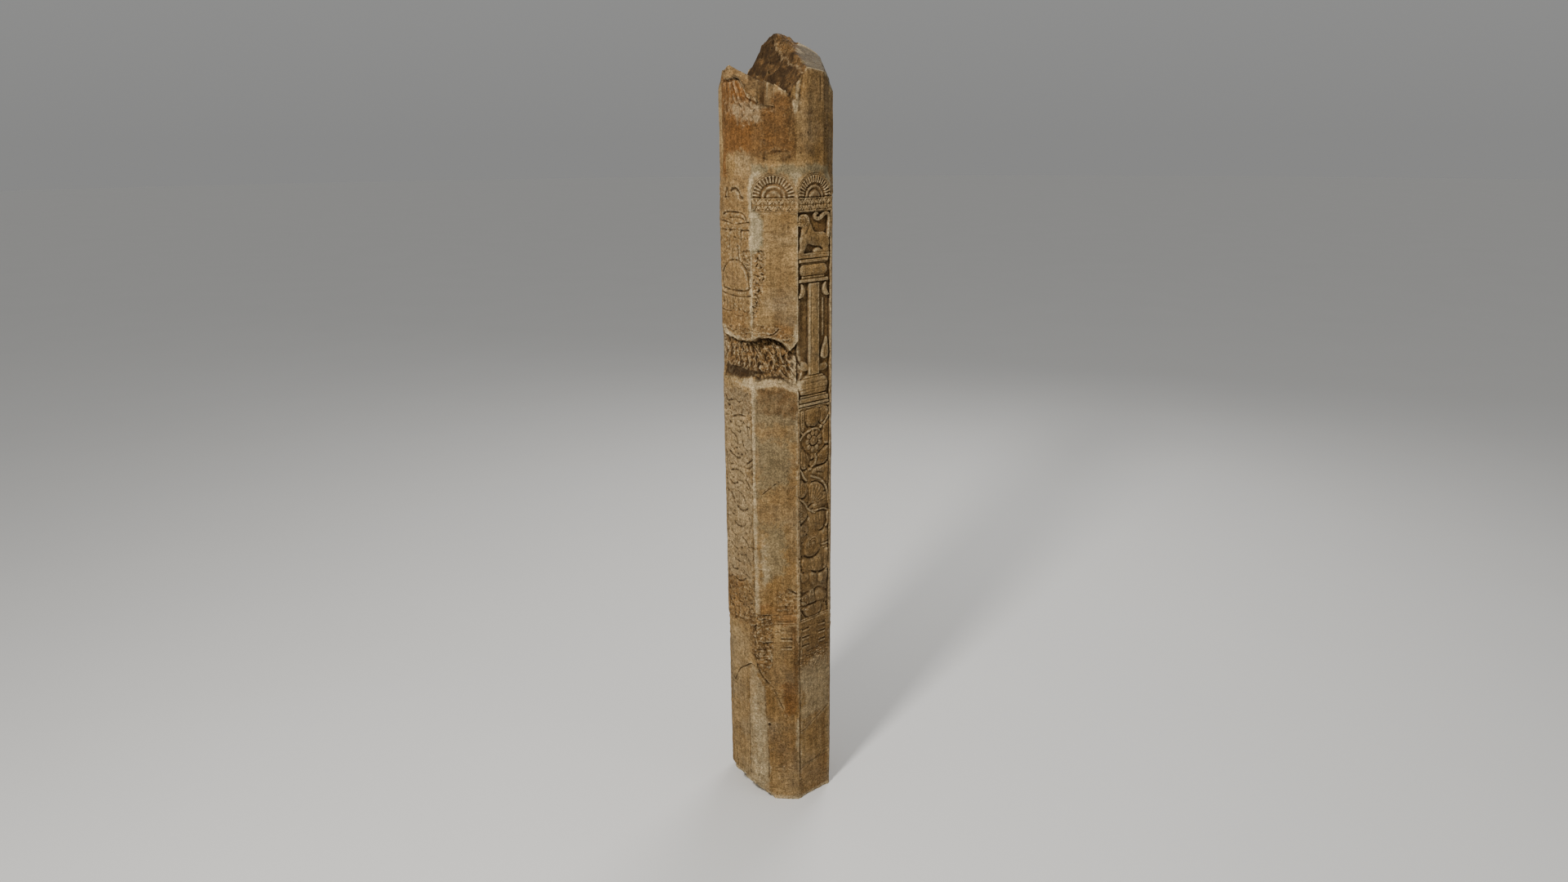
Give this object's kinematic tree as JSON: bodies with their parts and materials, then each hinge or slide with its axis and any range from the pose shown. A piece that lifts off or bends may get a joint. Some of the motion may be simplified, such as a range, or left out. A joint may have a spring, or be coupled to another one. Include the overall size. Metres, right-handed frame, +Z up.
{
  "type": "stupa railing pillar",
  "caption": "Octagonal limestone upright of a stupa railing, carved in low relief with lotus, lion pillar, stupa and scroll, its head broken off",
  "frame": {"origin": "centre of the shaft's eight-sided outline, on the flat underside of the foot", "axes": "+Z up along the shaft, -Y out of the plain front face, +X to the viewer's right of that face"},
  "size_m": [0.34, 0.34, 2.4962],
  "materials": {
    "limestone": "matte"
  },
  "bodies": {
    "root": {"railing_pillar": "limestone"}
  },
  "joints": []
}
